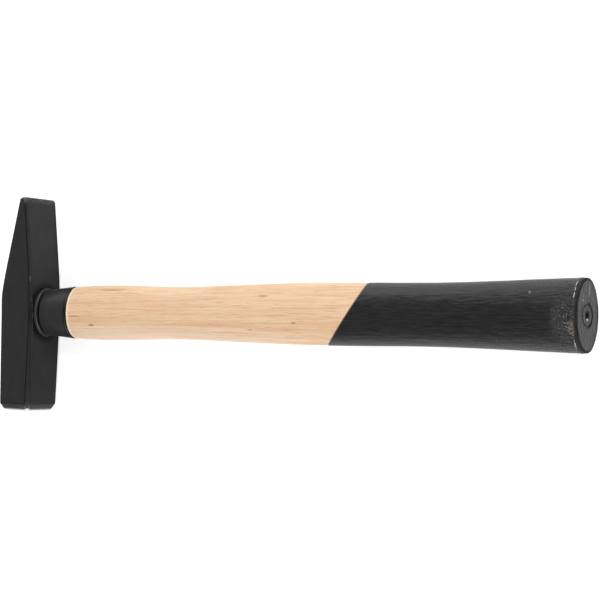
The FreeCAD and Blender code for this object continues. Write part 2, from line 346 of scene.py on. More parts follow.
def stoved_lacquer(centre, tint):
    """Drop-forged steel under black stoving lacquer: satin, faintly mottled, thin at its ends."""
    material, node, place = new_material("black_stoving_lacquer_on_forged_steel")
    x, y, z = [node("SeparateXYZ", place, output=axis) for axis in "XYZ"]
    side, face, top = HEAD_HIGH.x, HEAD_LOW.y, HEAD_HIGH.z
    mottle = grain_noise(node, place, (5.0, 8.0, 5.0), detail=4.0, rough=0.6)
    speck = grain_noise(node, place, (0.8, 1.1, 0.8), detail=2.0)
    patch = node("MapRange", speck, 0.42, 0.62, 0.2, 1.0)
    base = paint(node, tint, [("#2d2d2d", node("MapRange", mottle, 0.35, 0.65))])

    # Painted shade: a dark line beside the cheeks, and a painted shadow round the sleeve.
    edge = node("MapRange", node("Attribute", output="Fac", attribute_name="wear_and_shade"), 0.0, 0.7)
    along = node("Math ABSOLUTE", y)
    off_middle = node("Math ABSOLUTE", node("Math SUBTRACT", z, centre.z))
    inner = node("MapRange", along, 43.0 * MM, 46.0 * MM, 1.0, 0.0)
    at_cheek = node("MapRange", off_middle, centre.z - 0.75 * MM, centre.z - 0.45 * MM)
    half = [(SLEEVE_HIGH[i] - SLEEVE_LOW[i]) / 2 / MM + 3.0 for i in (1, 2)]
    sleeve_shadow = spot(node, place, (side, centre.y, centre.z), (4.0, *half), core=0.84)
    # Painted shade across the corner chamfers, and on the handle's side towards the face.
    drop = node("Math SUBTRACT", centre.z, off_middle)
    chamfer = node("MapRange", drop, 0.1 * MM, 0.4 * MM)
    beside = node("MapRange", drop, 0.4 * MM, 2.4 * MM, 0.5, 0.0)
    on_side = node("MapRange", x, side - 1.3 * MM, side - 0.8 * MM)
    towards_face = node("MapRange", y, -42.0 * MM, 0.0, 0.38, 0.24)
    base = paint(node, base, [
        ("#050505", edge, inner, at_cheek),
        ("#080808", sleeve_shadow, 0.85),
        ("#050505", chamfer, beside, inner),
        ("#050505", on_side, towards_face),
    ])

    # It wears grey on the edges: lightly beside the near side, and most at the face and the tip.
    near_side = node("MapRange", at_cheek, 0.0, 1.0, 0.12, 0.0)
    near_side = node("Math MULTIPLY", near_side, inner)
    past_face = node("MapRange", y, -26.0 * MM, -16.0 * MM)
    near_side = node("Math MULTIPLY", near_side, past_face)
    outer = node("MapRange", along, 44.6 * MM, 47.2 * MM)
    worn = node("Math MULTIPLY", edge, node("Math ADD", near_side, outer))
    worn = node("Math MULTIPLY", worn, patch)
    thin = node("MapRange", along, 44.6 * MM, 47.4 * MM, 0.0, 0.26)
    thin = node("Math MULTIPLY", thin, patch)
    off_face = node("MapRange", y, face + 0.1 * MM, face + 0.3 * MM, 0.45, 1.0)
    thin = node("Math MULTIPLY", thin, off_face)
    # Painted highlights, where bared steel catches the light, on the rim of the face, its near
    # corner and the edge that runs past the sleeve.
    rim = node("MapRange", x, side - 3.75 * MM, side - 2.25 * MM, 0.6, 0.3)
    corner = (side - 2.95 * MM, face + 0.45 * MM, top - 2.2 * MM)
    edge_glint = (side - 1.3 * MM, 11.2 * MM, top - 0.5 * MM)
    base = paint(node, base, [
        ("#8f8e8c", node("Math MAXIMUM", worn, thin)),
        ("#d8d7d5", rim, band(node, y, face + 0.15 * MM, face + 0.6 * MM, 0.15 * MM)),
        ("#e4e3e1", spot(node, place, corner, (1.3, 0.9, 1.3))),
        ("#e4e3e1", spot(node, place, edge_glint, (0.45, 1.8, 0.45)), 0.06),
    ])
    return complete(material, node, {
        "Base Color": base, "Roughness": node("MapRange", speck, 0.3, 0.7, 0.42, 0.52),
        "Specular IOR Level": 0.15,
    }, [(mottle, 0.08), (speck, 0.012)])


def sleeve_enamel(tint):
    """Drawn steel sleeve in smooth blue-black enamel, glossier than the head."""
    material, node, place = new_material("blue_black_enamel_on_drawn_steel")
    drift = grain_noise(node, place, (6.0, 4.0, 4.0))
    # Painted shade in the groove, at both ends and on the flange, whose edges are painted paler.
    shade = node("Attribute", output="Fac", attribute_name="shade")
    base = paint(node, tint, [
        ("#2e2e30", node("MapRange", drift, 0.35, 0.65)),
        ("#060606", node("MapRange", shade, 0.0, 1.0)),
        ("#7c7c7d", node("MapRange", shade, 0.0, -1.0)),
    ])
    return complete(material, node, {
        "Base Color": base, "Roughness": 0.36, "Specular IOR Level": 0.25,
    }, [(drift, 0.02)])


# Pin flecks and a short check in the wood: place from the eye, half extents, depth.
FLECKS = (
    ((34.0, -1.7, 7.0), (5.0, 0.25, 3.0), 0.8),
    ((44.0, -5.5, 6.3), (2.2, 0.45, 3.0), 0.9),
    ((136.0, 6.8, 6.0), (3.4, 0.30, 3.0), 0.8),
    ((151.5, -3.7, 7.2), (1.6, 0.35, 3.0), 0.8),
    ((129.7, -6.6, 6.0), (1.8, 0.30, 3.0), 0.6),
    ((54.0, 9.6, 3.9), (9.0, 0.40, 3.0), 0.6),
)


def hickory(centre, grip, tint):
    """Sanded and waxed hickory: pale, with long fine streaks, dark pores and rare flecks."""
    material, node, place = new_material("sanded_hickory")
    broad = grain_noise(node, place, (110.0, 4.5, 4.5), distortion=0.5)
    streak = grain_noise(node, place, (40.0, 0.6, 0.6), detail=4.0, rough=0.65)
    pores = grain_noise(node, place, (7.0, 0.25, 0.25), detail=2.0)
    # Painted light: a paler band along the lower side from the sleeve.
    ragged = node("MapRange", streak, 0.3, 0.7, -0.25, 0.25)
    lower_side = centre + Vector((62.0, -11.0, 4.0)) * MM
    painted_light_band = spot(node, place, lower_side, (112.0, 7.0, 14.0), ragged, core=0.3)
    flecks = [
        ("#8a5b3c", spot(node, place, centre + Vector(offset) * MM, size), depth)
        for offset, size, depth in FLECKS
    ]
    # Painted shadow in the gap by the sleeve, and past it a painted highlight on the shoulder.
    along = node("Math SUBTRACT", node("SeparateXYZ", place, output="X"), SLEEVE_HIGH.x)
    shoulder_highlight = band(node, along, 0.7 * MM, 1.8 * MM, 0.4 * MM)
    # The lacquer has crept a little way along the pores at its edge and stained them.
    slant = (1.0, -grip.rise, -grip.skew)
    turned = node("VectorMath DOT_PRODUCT", place, slant)
    edge = GRIP_HIGH.x - grip.length - grip.rise * centre.y - grip.skew * centre.z
    base = paint(node, tint, [
        ("#eacaa8", node("MapRange", broad, 0.35, 0.65)),
        ("#d4a27d", node("MapRange", streak, 0.48, 0.68, 0.0, 0.8)),
        ("#b88b67", node("MapRange", pores, 0.56, 0.70, 0.0, 0.6)),
        ("#f4e1cc", painted_light_band, 0.5),
        *flecks,
        ("#f7e6cf", shoulder_highlight, 0.8),
        ("#120f0c", node("MapRange", along, 0.75 * MM, 0.95 * MM, 1.0, 0.0)),
        ("#6d4a34", node("MapRange", turned, edge - 0.75 * MM, edge - 0.15 * MM)),
    ])
    return complete(material, node, {
        "Base Color": base, "Roughness": node("MapRange", streak, 0.3, 0.7, 0.46, 0.58),
        "Specular IOR Level": 0.4,
    }, [(streak, 0.03), (pores, 0.02)])


# Marks on the butt and one on its side: place from the eye, half extents, colour.
# The first and the last are painted glints, the second a paler streak, the third a dark mark.
BUTT_MARKS = (
    ((270.5, 5.2, 3.6), (2.0, 0.45, 0.5), "#b8b8b6"),
    ((270.5, 8.8, -1.5), (2.0, 2.6, 0.6), "#7c7c7a"),
    ((270.5, -2.6, 2.8), (2.0, 1.1, 0.9), "#040404"),
    ((251.8, 7.9, 6.8), (0.7, 0.4, 1.0), "#7e7e7c"),
)


def dipped_lacquer(centre, tint):
    """Thick dipped lacquer over wood: black, semi-gloss, with the grain showing through."""
    material, node, place = new_material("black_dip_lacquer_on_wood")
    x, butt = node("SeparateXYZ", place, output="X"), GRIP_HIGH.x
    grain = grain_noise(node, place, (6.0, 0.6, 0.6), detail=4.0, rough=0.6)
    fine = grain_noise(node, place, (0.5, 0.5, 0.5))
    # Where the butt has been set down the lacquer has rubbed through to brown wood.
    ragged = node("MapRange", fine, 0.3, 0.7, -0.35, 0.6)
    rub = spot(node, place, centre + Vector((268.3, -4.4, 7.4)) * MM, (2.3, 3.9, 3.6), ragged)
    # Burst blisters leave a wrinkled, cracked skin round it, with pale specks painted as glints.
    burst = centre + Vector((266.0, -1.5, 7.6)) * MM
    blistered = spot(node, place, burst, (5.8, 8.5, 6.0), ragged)
    crack = grain_noise(node, place, (2.0, 1.5, 1.5), detail=2.0)
    crack = node("Math ABSOLUTE", node("Math SUBTRACT", crack, 0.5))
    crack = node("MapRange", crack, 0.03, 0.08, 2.0, 0.0)
    crack = node("Math MINIMUM", node("Math MULTIPLY", blistered, crack), 1.0)
    speck = grain_noise(node, place, (0.5, 0.4, 0.5), detail=1.0)
    speck = node("MapRange", speck, 0.62, 0.70, 0.0, 0.85)
    wrinkle = grain_noise(node, place, (1.0, 0.6, 0.6), rough=0.6)
    wrinkle = node("Math MULTIPLY", wrinkle, blistered)
    # The end is patchy, and shade is painted round the butt's edge, in the ring and the crease.
    on_end = node("MapRange", x, butt - 0.55 * MM, butt - 0.4 * MM)
    swirl = grain_noise(node, place, (3.0, 3.4, 1.0), detail=4.0, distortion=1.0)
    shade = node("Attribute", output="Fac", attribute_name="shade")
    painted_shade = node("MapRange", shade, 0.0, 0.8)
    butt_marks = [
        (code, spot(node, place, centre + Vector(offset) * MM, size, ragged))
        for offset, size, code in BUTT_MARKS
    ]
    base = paint(node, tint, [
        ("#242424", node("MapRange", grain, 0.35, 0.65)),
        ("#7a6a60", rub, 0.95),
        ("#020202", crack),
        ("#9c9c9b", blistered, speck),
        ("#505050", node("MapRange", swirl, 0.5, 0.7), on_end),
        *butt_marks,
        # Painted highlights on the bead and in the hole's mouth, then the painted shade.
        ("#b4b4b2", node("MapRange", shade, 0.0, -0.8)),
        ("#020202", painted_shade),
    ])
    # It is glossier where it has gathered near the butt, and shows more of the grain there.
    gathered = node("MapRange", x, butt - 60 * MM, butt - 5 * MM)
    rough = node("MapRange", grain, 0.3, 0.7, 0.22, 0.34)
    rough = node("Math SUBTRACT", rough, node("Math MULTIPLY", gathered, 0.1))
    dull = node("MapRange", swirl, 0.35, 0.65, 0.1, 0.38)
    dull = node("Math MULTIPLY", dull, on_end)
    dull = node("Math ADD", dull, node("Math MULTIPLY", painted_shade, 0.4))
    # The grain doesn't show on the end or in its creases.
    clean = node("MapRange", node("Math MAXIMUM", on_end, painted_shade), 0.0, 1.0, 1.0, 0.0)
    grain = node("Math MULTIPLY", grain, node("MapRange", gathered, 0.0, 1.0, 0.55, 1.3))
    grain = node("Math MULTIPLY", grain, clean)
    sunk = node("Math SUBTRACT", 1.0, crack)
    swirl = node("Math MULTIPLY", swirl, on_end)
    return complete(material, node, {
        "Base Color": base, "Roughness": node("Math ADD", rough, dull),
        "Specular IOR Level": 0.45,
    }, [(grain, 0.22), (fine, 0.012), (wrinkle, 0.4), (sunk, 0.3), (swirl, 0.6)])


def wedge_beech():
    """Beech wedge sawn along the grain, its end grain showing at the far side."""
    material, node, place = new_material("sawn_beech")
    fibre = grain_noise(node, place, (0.5, 2.5, 0.35))
    base = paint(node, colour("#c79a72"), [("#dab48c", node("MapRange", fibre, 0.35, 0.65))])
    return complete(material, node, {"Base Color": base, "Roughness": 0.7}, [(fibre, 0.05)])


def bare_steel():
    """Ring cut from drawn steel tube, dull bright with fine cutting marks."""
    material, node, place = new_material("bare_drawn_steel")
    marks = grain_noise(node, place, (3.0, 0.25, 3.0))
    base = paint(node, colour("#9b9a98"), [("#b3b2b0", node("MapRange", marks, 0.35, 0.65))])
    return complete(material, node, {
        "Base Color": base, "Metallic": 1.0,
        "Roughness": node("MapRange", marks, 0.3, 0.7, 0.32, 0.48),
    }, [(marks, 0.02)])


def studio_board():
    """Matt white board: pure white to the eye and in reflections, and it keeps a shadow."""
    material = bpy.data.materials.new("white_studio_board")
    node = empty_nodes(material)
    board = node("BsdfDiffuse", colour("#e8e8e8"))
    eye, gloss, glass = [
        node("LightPath", output=f"Is {ray} Ray") for ray in ("Camera", "Glossy", "Transmission")
    ]
    mirrored = node("Math MULTIPLY", node("Math MAXIMUM", gloss, glass), 0.25)
    seen = node("Math MAXIMUM", node("Math MULTIPLY", eye, 0.55), mirrored)
    node("OutputMaterial", node("AddShader", board, node("Emission", {"Strength": seen})))
    return material


# ---- sizes

def span(name, description, millimetres):
    """Property for a length, its default in millimetres."""
    return bpy.props.FloatProperty(
        name=name, description=description, default=millimetres * MM, unit="LENGTH",
    )


def number(name, description, share):
    """Property for a plain number."""
    return bpy.props.FloatProperty(name=name, description=description, default=share)


def hue(name, description, code):
    """Property for a colour, its default an sRGB hex value."""
    return bpy.props.FloatVectorProperty(
        name=name, description=description, default=colour(code), subtype="COLOR", size=4,
        min=0.0, max=1.0,
    )


class HammerHeadSizes(bpy.types.PropertyGroup):
    """Sizes and colour of the forged head"""

    face_to_eye: span("Face to eye", "From the striking face to the middle of the eye", 43.8)
    eye_depth: span("Eye depth", "Size of the head along the handle, beside the eye's swell", 19.0)
    bevel_length: span("Face bevel", "Length of the bevel round the striking face", 3.0)
    bevel_depth: span("Bevel depth", "How far the bevel draws the striking face in", 2.0)
    face_corner: span(
        "Corner at the face", "Leg of the long corner chamfers at the striking face", 1.8)
    eye_corner: span("Corner at the eye", "Leg of the long corner chamfers beside the eye", 1.2)
    peen_corner: span("Corner at the peen", "Leg of the long corner chamfers along the peen", 0.5)
    corner_fade: span(
        "Corner fade", "Distance past the eye at which the chamfers reach the peen's size", 16.3)
    tip_bevel: span("Tip bevel", "Length of the rounding off at the peen's tip", 1.2)
    softness: span("Edge softness", "Radius left on the edges by forging and lacquer", 0.3)
    tint: hue("Head colour", "Darker shade of the stoving lacquer on the head", "#282828")


class SleeveSizes(bpy.types.PropertyGroup):
    """Sizes and colour of the steel sleeve"""

    flange: span("Flange", "Thickness of the flange against the head", 1.2)
    groove: span("Groove", "Width of the groove behind the flange, with both its corners", 1.4)
    rounding: span("Lip rounding", "Rounding of the sleeve's open end", 0.4)
    tint: hue("Sleeve colour", "Darker shade of the enamel on the sleeve", "#2b2b2c")


class HandleSizes(bpy.types.PropertyGroup):
    """Sizes and colour of the hickory handle"""

    shoulder_rounding: span("Shoulder rounding", "Rounding of the wood beside the sleeve", 0.6)
    butt_bevel: span("Butt bevel", "Length of the bevel round the butt", 0.6)
    hole_radius: span("Centre hole", "Radius of the lathe's centre hole in the butt", 1.1)
    hole_depth: span("Hole depth", "Depth of the centre hole's straight part", 2.0)
    tint: hue("Wood colour", "Darker shade of the bare wood", "#e0ba95")


class GripSizes(bpy.types.PropertyGroup):
    """Sizes and colour of the lacquer on the grip"""

    thickness: span("Lacquer", "Thickness of the dipped lacquer", 0.2)
    length: span("Covered length", "Length of handle under lacquer, at mid height", 98.0)
    rise: number("Edge rise", "Slant of the lacquer's edge per unit of height", 0.74)
    skew: number("Edge skew", "Slant of the lacquer's edge per unit of thickness", 0.55)
    grain_depth: span("Grain depth", "Depth of the grain that shows in the lacquer", 0.12)
    blister_depth: span("Blister depth", "Height of the wrinkles and blisters near the butt", 0.26)
    bead: span("Bead", "Height of the bead of lacquer that stands round the butt", 0.09)
    crease_width: span("Crease", "Width of the crease that runs round the butt's end face", 1.0)
    crease_depth: span("Crease depth", "Depth of that crease", 0.3)
    ring_radius: span("Ring mark", "Radius of the ring left by the lathe's drive centre", 3.8)
    ring_width: span("Ring width", "Width of the ring mark", 0.5)
    ring_depth: span("Ring depth", "Depth of the ring mark", 0.35)
    tint: hue("Grip colour", "Darker shade of the dipped lacquer", "#171717")


class StageSettings(bpy.types.PropertyGroup):
    """Camera, floor and even light"""

    lens: number("Lens", "Focal length in millimetres on a 36 mm sensor", 86.84)
    distance: span("Distance", "From the camera to the point it looks at", 565.66)
    aim: bpy.props.FloatVectorProperty(
        name="Aim",
        description="Point that the camera looks at, from the middle of the hammer's footprint",
        default=(18.876 * MM, 1.745 * MM, 9.5 * MM), unit="LENGTH", size=3)
    turn: bpy.props.FloatVectorProperty(
        name="Turn", description="The camera's rotation from looking straight down",
        default=(math.radians(2.576), math.radians(35.523), math.radians(1.457)),
        subtype="EULER", size=3)
    floor_size: span("Floor", "Width of the white floor", 6000.0)
    air: number("Ceiling", "Strength of the even light from overhead", 0.22)


# ---- hammer head

SWELL_BEFORE = 12 * MM      # the outline curves from this far before the eye
SWELL_PAST = 17 * MM        # to this far past it
ROUNDED = math.radians(25)  # edges past this angle are rounded
# How the striking face's rim is rounded off: (distance from the face, inset) in millimetres.
RIM = ((0.02, 0.8), (0.1, 0.42), (0.25, 0.2), (0.5, 0.08), (0.9, 0.02))
RIM_CORNER = 0.64 * MM      # least leg of the corner chamfers there


def chamfer_leg(head, along):
    """Leg of the long corner chamfers at a distance from the eye towards the peen."""
    if along <= 0:
        return head.eye_corner + (head.face_corner - head.eye_corner) * -along / head.face_to_eye
    share = min(1.0, along / head.corner_fade)
    return head.eye_corner + (head.peen_corner - head.eye_corner) * share


def head_stations(head):
    """Places along the head, close together where its outline curves."""
    low, high = HEAD_LOW.y, HEAD_HIGH.y
    eye = low + head.face_to_eye
    places = [low + along * MM for along, _ in RIM]
    places += spread(low + head.bevel_length, eye - SWELL_BEFORE, 3)
    places += spread(eye - SWELL_BEFORE, eye + SWELL_PAST, 24)[1:]
    places += spread(eye + SWELL_PAST, high - head.tip_bevel, 5)[1:]
    places += [high - head.tip_bevel * share for share in (0.65, 0.4, 0.2)]
    return places + [high - EDGE_INSET]


class HAMMER_OT_head(bpy.types.Operator):
    """Model the forged head: octagonal body, wedge-shaped peen and oval eye"""

    bl_idname = "hammer.head"
    bl_label = "Hammer head"

    def execute(self, context):
        head = context.scene.hammer_head
        centre = eye_centre(head)
        outline = Sections("hammer_head", 1)
        stations = []
        for index, y in enumerate(head_stations(head)):
            low, high = outline.box(y)
            bevel = head.bevel_depth * max(0.0, 1 - (y - HEAD_LOW.y) / head.bevel_length)
            # Moving all eight sides in by the bevel takes this much off a corner's leg.
            leg = chamfer_leg(head, y - centre.y) - bevel * (2 - math.sqrt(2))
            if index < len(RIM):
                inset = RIM[index][1] * MM
                low, high = low + Vector((inset, 0, inset)), high - Vector((inset, 0, inset))
                leg = max(RIM_CORNER, leg - inset * (2 - math.sqrt(2)))
            stations.append((y, low, high, leg))
        outline.free()

        def place(turn, station):
            y, low, high, leg = station
            corner = (
                (high.x, high.z - leg), (high.x - leg, high.z), (low.x + leg, high.z),
                (low.x, high.z - leg), (low.x, low.z + leg), (low.x + leg, low.z),
                (high.x - leg, low.z), (high.x, low.z + leg),
            )[round(math.degrees(turn) / 45) % 8]
            return corner[0], y, corner[1]

        bm = ring_skin(stations, place, 8)
        edges = [edge for edge in bm.edges if edge.calc_face_angle(0.0) > ROUNDED]
        strips = bmesh.ops.bevel(
            bm, geom=edges, offset=head.softness, affect="EDGES", segments=3, profile=0.5,
            material=-1, clamp_overlap=True,
        )["faces"]
        mark_wear_and_shade(bm, strips)
        piece = finish_mesh(bm, "forged_head", SHARP)
        boolean_cut(piece, eye_cutter(centre))
        smooth_shading(piece.data, SHARP)
        # Large faces keep their own direction, so only the rounded edges shade.
        piece.modifiers.new("flat_face_normals", "WEIGHTED_NORMAL").keep_sharp = True
        declare(piece, stoved_lacquer(centre, head.tint), "hammer_head")
        return {"FINISHED"}


def mark_wear_and_shade(bm, strips):
    """Marks the corners inside the rounded edges and the rim, for wear and for painted shade."""
    wear_and_shade = bm.verts.layers.float.new("wear_and_shade")
    rounded = set(strips)
    for vert in bm.verts:
        on_rim = 0.05 * MM < vert.co.y - HEAD_LOW.y < 0.3 * MM
        vert[wear_and_shade] = float(on_rim or all(face in rounded for face in vert.link_faces))


def oval(centre):
    """Places ring corners on ovals, whose stations are (place, half height, half width)."""
    def place(turn, station):
        x, height, width = station
        return x, centre.y + height * math.cos(turn), centre.z + width * math.sin(turn)
    return place


def eye_cutter(centre):
    """Tapered oval plug in the shape of the eye, a little longer than the head is deep."""
    overrun = 1.0 * MM
    wood = Profile("handle", WOOD_LOW.x + 2 * MM, SLEEVE_LOW.x + 2 * MM, 1 * MM)
    places = spread(WOOD_LOW.x - overrun, SLEEVE_LOW.x + 2 * MM + overrun, 12)
    stations = [(x, *wood.at(x)) for x in places]
    return finish_mesh(ring_skin(stations, oval(centre), 96), "eye_cutter", SHARP)


# ---- sleeve

class HAMMER_OT_sleeve(bpy.types.Operator):
    """Model the flanged steel sleeve over the handle's neck"""

    bl_idname = "hammer.sleeve"
    bl_label = "Sleeve"

    def execute(self, context):
        sleeve = context.scene.hammer_sleeve
        centre = eye_centre(context.scene.hammer_head)
        outer = Sections("handle_sleeve", 0)
        head = Sections("hammer_head", 1)
        start, end = HEAD_HIGH.x, SLEEVE_HIGH.x
        flange_end = start + sleeve.flange
        groove_end = flange_end + sleeve.groove
        wood = Profile("handle", start + 0.5 * MM, end - EDGE_INSET, 1 * MM)
        # Outside from the open end to the head, then the bore back. None is the head's surface.
        places = [end - EDGE_INSET]
        places += [end - sleeve.rounding * share for share in (0.1, 0.25, 0.5, 0.75, 1.0)]
        places += spread(end - sleeve.rounding, groove_end, 12)[1:]
        places += spread(groove_end, flange_end - 0.5 * MM, 20)[1:]
        places += [start + share * MM for share in (0.5, 0.35, 0.25, 0.15)]
        stations = []
        for x in places:
            low, high = outer.box(x)
            stations.append((x, (high.y - low.y) / 2, (high.z - low.z) / 2))
        stations += [(None, *stations[-1][1:]), (None, *wood.at(start))]
        stations += [(x, *wood.at(x)) for x in spread(start + 0.6 * MM, end - EDGE_INSET, 6)]
        outer.free()
        seats = {}
        on_oval = oval(centre)

        def seat(y):
            """Where the head's near side lies at a height."""
            key = round(y / EDGE_INSET)
            if key not in seats:
                seats[key] = head.box(y)[1].x
            return seats[key]

        def place(turn, station):
            x, y, z = on_oval(turn, station)
            return seat(y) if x is None else x, y, z

        def shade(turn, station):
            """From 1 where shade is painted to -1 where the flange's edges are painted paler."""
            x = station[0]
            if x is None or x > end - 0.45 * MM:
                return 1.0
            if x > flange_end + 0.15 * MM:
                return float(x < groove_end - 0.45 * MM)
            front, back = abs(x - flange_end + 0.15 * MM), abs(x - start - 0.25 * MM)
            return 0.6 - max(0.0, 1.3 - front / (0.14 * MM), 1.1 - back / (0.2 * MM))

        stations.append(stations[0])
        bm = ring_skin(stations, place, OVAL_SEGMENTS, closed=True, shade=shade)
        head.free()
        piece = finish_mesh(bm, "steel_sleeve", SHARP_SKIN)
        declare(piece, sleeve_enamel(sleeve.tint), "handle_sleeve")
        return {"FINISHED"}


# ---- handle

NECK_JOIN = 6 * MM      # the shank starts this far inside the sleeve


class HAMMER_OT_handle(bpy.types.Operator):
    """Model the hickory handle from the wedged eye to the butt"""

    bl_idname = "hammer.handle"
    bl_label = "Handle"

    def execute(self, context):
        handle, grip = context.scene.hammer_handle, context.scene.hammer_grip
        centre = eye_centre(context.scene.hammer_head)
        shoulder, end = SLEEVE_HIGH.x, WOOD_HIGH.x
        split = shoulder - NECK_JOIN
        bevel_start = end - handle.butt_bevel
        rounding = handle.shoulder_rounding
        neck = Profile("handle", split, shoulder - EDGE_INSET, 1 * MM)
        shank = Profile("handle", shoulder + rounding, bevel_start, 2 * MM)
        bevel = Profile("handle", bevel_start, end - EDGE_INSET, 0.2 * MM)
        stations = [(x, *neck.at(x)) for x in spread(split + 1 * MM, shoulder, 3)]
        lip = shank.at(shoulder + rounding)
        for along, inward in quarter_round(rounding, 4):
            stations.append((shoulder + along, lip[0] - inward, lip[1] - inward))
        stations += [(x, *shank.at(x)) for x in spread(shoulder + rounding, bevel_start, 80)[1:]]
        stations += [(x, *bevel.at(x)) for x in spread(bevel_start, end, 2)[1:]]
        # The pocket under the lacquered centre hole.
        hole = handle.hole_radius + grip.thickness
        floor = end - handle.hole_depth - hole
        stations += [(end, hole, hole), (floor, hole, hole), (floor, hole / 4, hole / 4)]

        # The wedged end is the construction's own, sewn to the new shank inside the sleeve.
        bm = merged_copy("handle")
        bmesh.ops.bisect_plane(
            bm, geom=bm.verts[:] + bm.edges[:] + bm.faces[:], clear_outer=True,
            plane_co=(split, 0, 0), plane_no=(1, 0, 0),
        )
        shank_skin = ring_skin(stations, oval(centre), OVAL_SEGMENTS, open_start=True)
        shank_mesh = bpy.data.meshes.new("shank")
        shank_skin.to_mesh(shank_mesh)
        shank_skin.free()
        bm.from_mesh(shank_mesh)
        bpy.data.meshes.remove(shank_mesh)
        bmesh.ops.bridge_loops(bm, edges=[edge for edge in bm.edges if edge.is_boundary])
        bmesh.ops.recalc_face_normals(bm, faces=bm.faces)
        piece = finish_mesh(bm, "hickory_handle", math.radians(35))
        declare(piece, hickory(centre, grip, handle.tint), "handle")
        return {"FINISHED"}


# ---- grip

BLISTER_ZONE = 14 * MM      # the skin may be blistered this far from the butt
BEAD_ZONE = 2.2 * MM        # the bead and the dip behind it lie this far from the turn
# The bead round the butt: (millimetres before the turn, rise in beads, painted shade or glint).
BEAD = (
    (2.0, -0.1, 0.0), (1.8, 0.3, 0.0), (1.6, 0.8, 0.0), (1.45, 1.0, 0.0), (1.3, 0.9, 0.0),
    (1.25, 0.7, -0.6), (1.0, -0.6, -0.6), (0.95, -0.8, 0.6), (0.8, -0.9, 1.0),
    (0.0, -1.0, 1.0),
)
# The crease where the lacquer on the end has shrunk: (share of width, of depth, painted shade).
CREASE = ((0.1, 0.2, 1.0), (0.22, 1.0, 1.0), (0.5, 0.8, 1.0), (0.8, 0.4, 0.8), (1.0, 0.2, 0.0))
# The mouth of the centre hole: (millimetres outside the hole, millimetres deep).
MOUTH = ((0.55, 0.04), (0.35, 0.12), (0.15, 0.25), (0.04, 0.45))


def in_grains(point, x, y, z):
    """A point counted in grains that measure this many millimetres."""
    return Vector((point.x / x, point.y / y, point.z / z)) / MM


def grain_height(point):
    """Height from 0 to 1 of long wood grain under the lacquer."""
    long_grain = noise.fractal(in_grains(point, 11, 0.95, 0.95), 1.0, 2.0, 3)
    return 0.5 + 0.5 * clamp(long_grain, -1.0)


def blister_height(point):
    """Height from 0 to 1 of wrinkles and small blisters in the lacquer."""
    wrinkle = abs(noise.noise(in_grains(point, 1.3, 0.9, 0.9)))
    nearest = noise.voronoi(Vector(point) / (1.5 * MM))[0][0]
    return 0.6 * (1 - min(1.0, 3 * wrinkle)) + 0.6 * max(0.0, 1 - nearest / 0.45)


